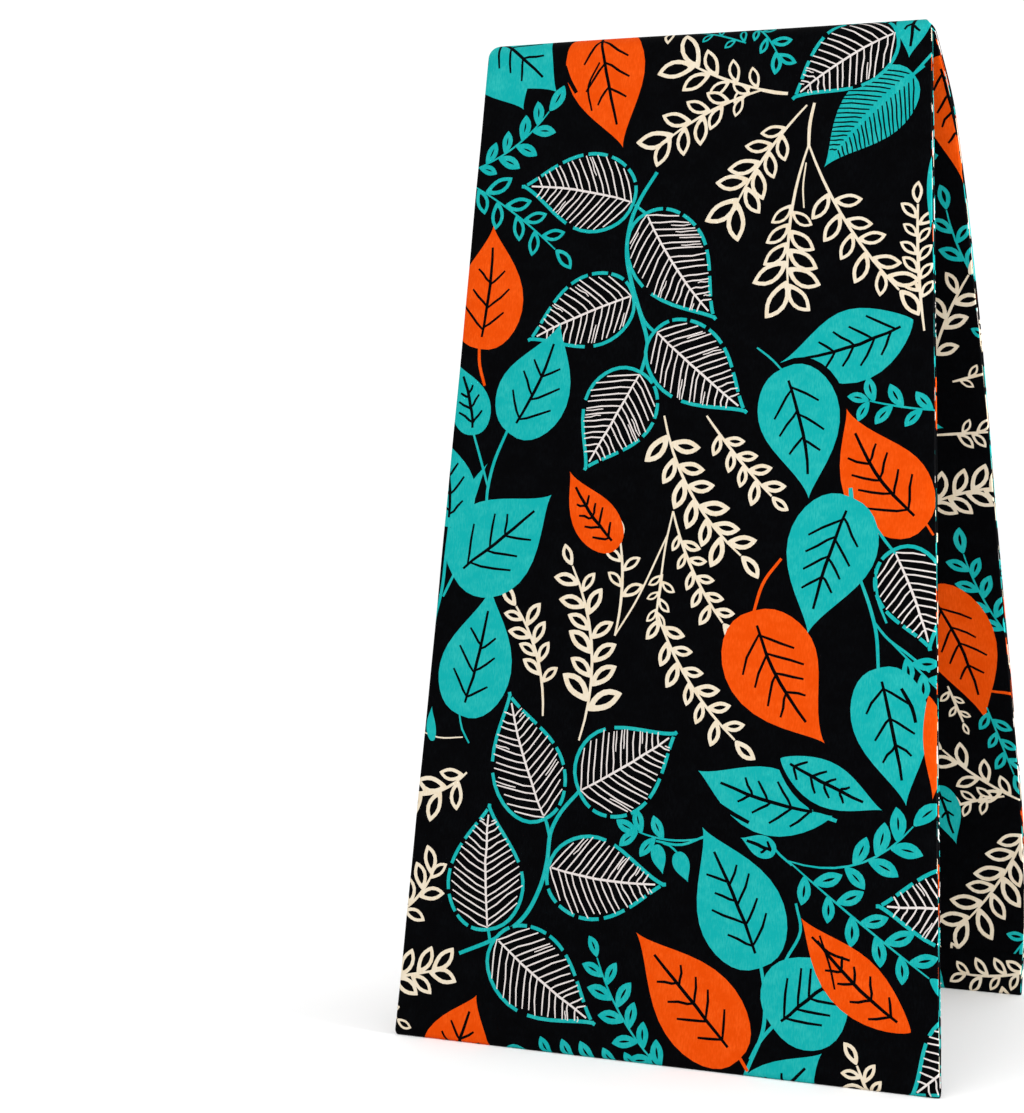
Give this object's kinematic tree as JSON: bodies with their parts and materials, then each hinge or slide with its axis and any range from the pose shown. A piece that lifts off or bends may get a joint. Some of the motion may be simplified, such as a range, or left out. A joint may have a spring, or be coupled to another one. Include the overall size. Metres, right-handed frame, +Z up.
{
  "type": "folded african wax print fabric",
  "caption": "Length of printed cotton, folded flat into a thick strip and stood up as an inverted V.",
  "frame": {"origin": "on the floor, under the middle of the standing cloth", "axes": "+X along the ridge, to the right of one who faces the front fall; +Y from the front fall to the back one; +Z up"},
  "size_m": [0.302, 0.2346, 0.554],
  "materials": {
    "printed_cotton": "satin"
  },
  "bodies": {
    "root": {"front_fall_outer": "printed_cotton", "ridge_outer": "printed_cotton", "back_fall_outer": "printed_cotton", "front_fall_inner": "printed_cotton", "ridge_inner": "printed_cotton", "back_fall_inner": "printed_cotton", "front_foot_fold": "printed_cotton", "back_foot_fold": "printed_cotton", "hidden_plies": "printed_cotton"}
  },
  "joints": []
}
